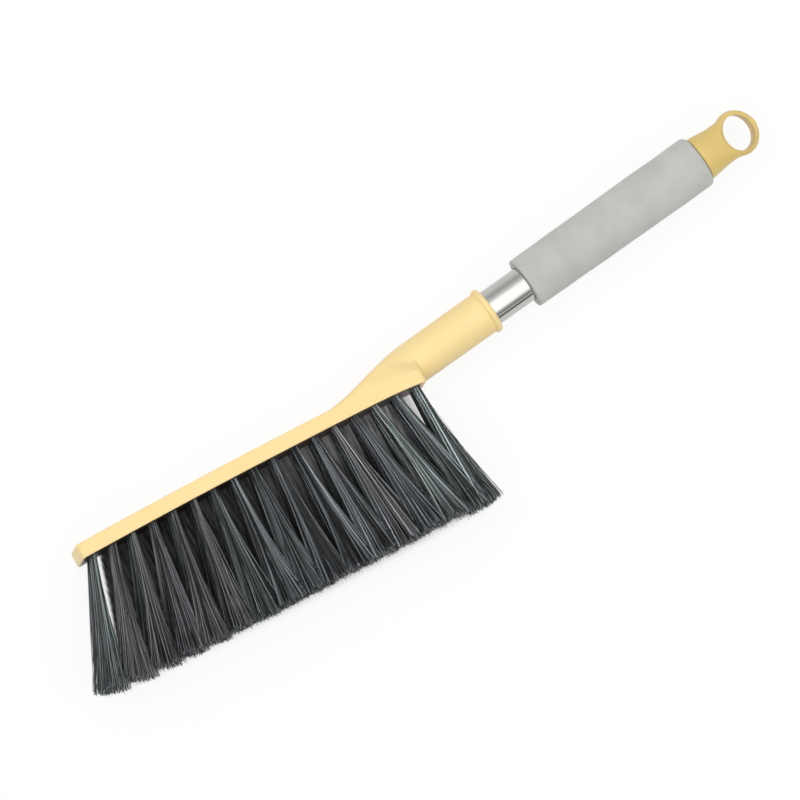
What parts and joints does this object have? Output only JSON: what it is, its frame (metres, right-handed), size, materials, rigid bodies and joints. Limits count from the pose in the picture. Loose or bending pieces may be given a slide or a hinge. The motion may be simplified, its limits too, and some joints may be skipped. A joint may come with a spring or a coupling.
{
  "type": "bed brush",
  "caption": "Bed brush lying on its side: slim arched bar of soft bristle tufts, faired socket, steel tube handle, foam grip and a cap with an oval hanging loop.",
  "frame": {"origin": "middle of the bar's flat side face that the brush lies on", "axes": "+X along the bar towards the handle, +Y towards the bar's back with the bristles pointing to -Y, +Z away from the surface that it lies on"},
  "size_m": [0.4298, 0.1207, 0.036],
  "materials": {
    "head_plastic": "satin pale yellow moulding",
    "cap_plastic": "satin golden yellow moulding",
    "polished_steel": "polished stainless steel",
    "grip_foam": "fine closed-cell foam, light grey",
    "bristle_fibre": "fine soft fibres, dark grey"
  },
  "bodies": {
    "root": {"brush_head": "head_plastic", "handle_tube": "polished_steel", "grip_sleeve": "grip_foam", "hanging_cap": "cap_plastic", "tuft_far_01": "bristle_fibre", "tuft_far_02": "bristle_fibre", "tuft_far_03": "bristle_fibre", "tuft_far_04": "bristle_fibre", "tuft_far_05": "bristle_fibre", "tuft_far_06": "bristle_fibre", "tuft_far_07": "bristle_fibre", "tuft_far_08": "bristle_fibre", "tuft_far_09": "bristle_fibre", "tuft_far_10": "bristle_fibre", "tuft_far_11": "bristle_fibre", "tuft_far_12": "bristle_fibre", "tuft_far_13": "bristle_fibre", "tuft_far_14": "bristle_fibre", "tuft_far_15": "bristle_fibre", "tuft_far_16": "bristle_fibre", "tuft_far_17": "bristle_fibre", "tuft_mid_01": "bristle_fibre", "tuft_mid_02": "bristle_fibre", "tuft_mid_03": "bristle_fibre", "tuft_mid_04": "bristle_fibre", "tuft_mid_05": "bristle_fibre", "tuft_mid_06": "bristle_fibre", "tuft_mid_07": "bristle_fibre", "tuft_mid_08": "bristle_fibre", "tuft_mid_09": "bristle_fibre", "tuft_mid_10": "bristle_fibre", "tuft_mid_11": "bristle_fibre", "tuft_mid_12": "bristle_fibre", "tuft_mid_13": "bristle_fibre", "tuft_mid_14": "bristle_fibre", "tuft_mid_15": "bristle_fibre", "tuft_mid_16": "bristle_fibre", "tuft_mid_17": "bristle_fibre", "tuft_near_01": "bristle_fibre", "tuft_near_02": "bristle_fibre", "tuft_near_03": "bristle_fibre", "tuft_near_04": "bristle_fibre", "tuft_near_05": "bristle_fibre", "tuft_near_06": "bristle_fibre", "tuft_near_07": "bristle_fibre", "tuft_near_08": "bristle_fibre", "tuft_near_09": "bristle_fibre", "tuft_near_10": "bristle_fibre", "tuft_near_11": "bristle_fibre", "tuft_near_12": "bristle_fibre", "tuft_near_13": "bristle_fibre", "tuft_near_14": "bristle_fibre", "tuft_near_15": "bristle_fibre", "tuft_near_16": "bristle_fibre", "tuft_near_17": "bristle_fibre"}
  },
  "joints": []
}
